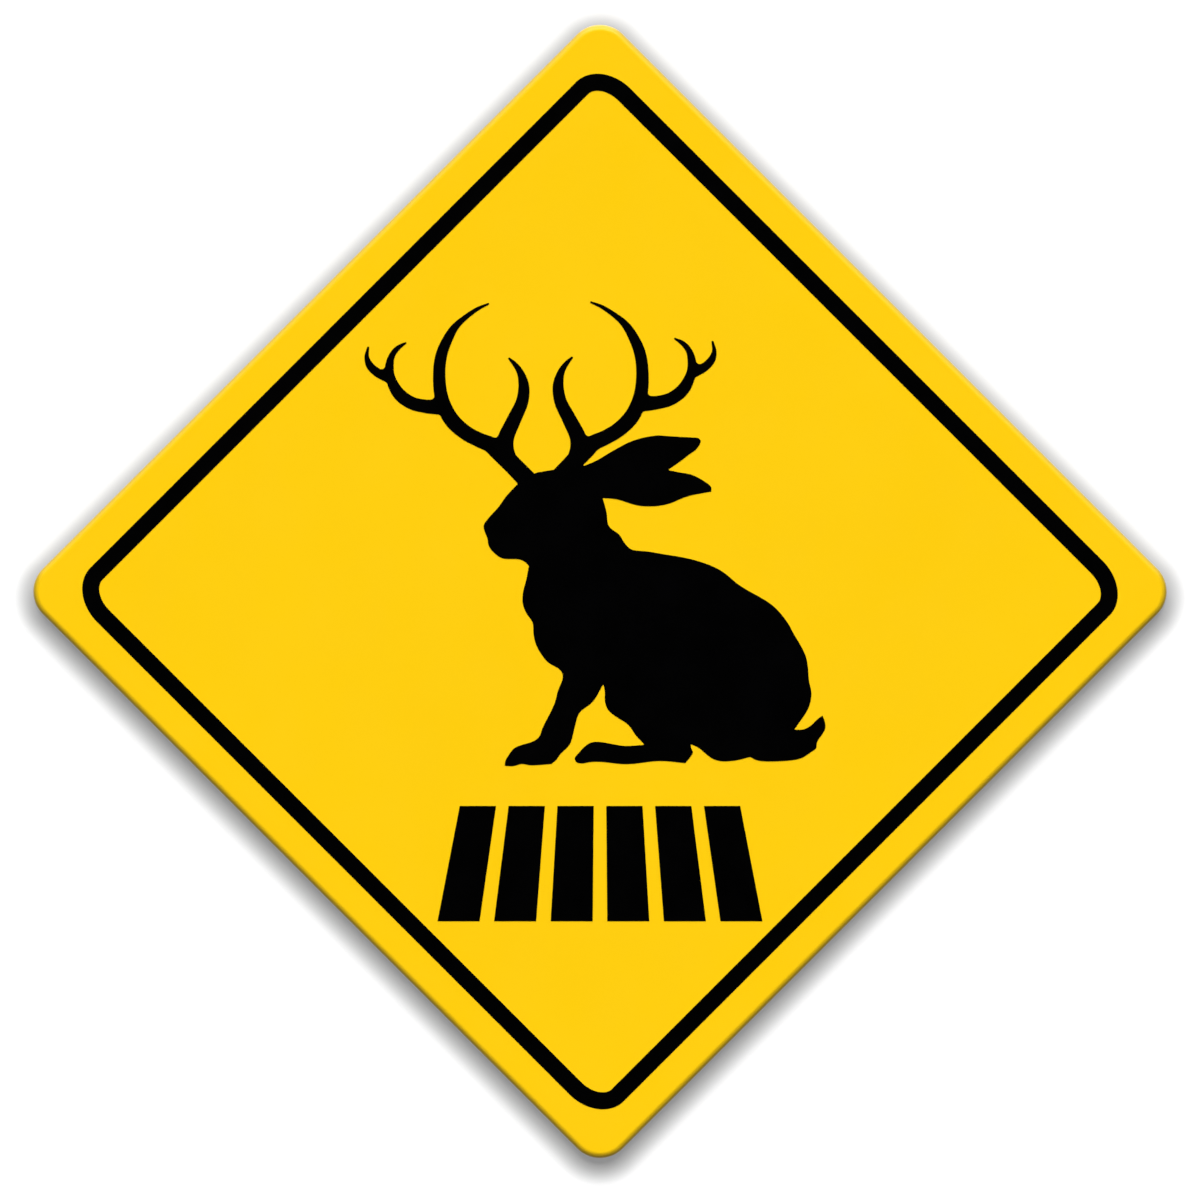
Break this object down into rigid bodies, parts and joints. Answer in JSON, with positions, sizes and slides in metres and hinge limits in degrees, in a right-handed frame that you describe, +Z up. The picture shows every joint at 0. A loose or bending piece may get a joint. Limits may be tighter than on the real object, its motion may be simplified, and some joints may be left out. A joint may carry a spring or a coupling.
{
  "type": "novelty crossing sign",
  "caption": "Flat metal sign plate, a square set on its corner, with a yellow front, a black border line, a seated antlered hare in silhouette and a row of plain crossing bars",
  "frame": {"origin": "middle of the plate's flat back face", "axes": "+Z up, along the diagonal that stands upright; +Y out of the back, towards the wall or post; the printed front faces -Y"},
  "size_m": [0.421, 0.0033, 0.421],
  "materials": {
    "yellow_paint": "satin",
    "black_ink": "satin"
  },
  "bodies": {
    "root": {"sign_plate": "yellow_paint", "border_line": "black_ink", "antlered_hare": "black_ink", "crossing_bars": "black_ink"}
  },
  "joints": []
}
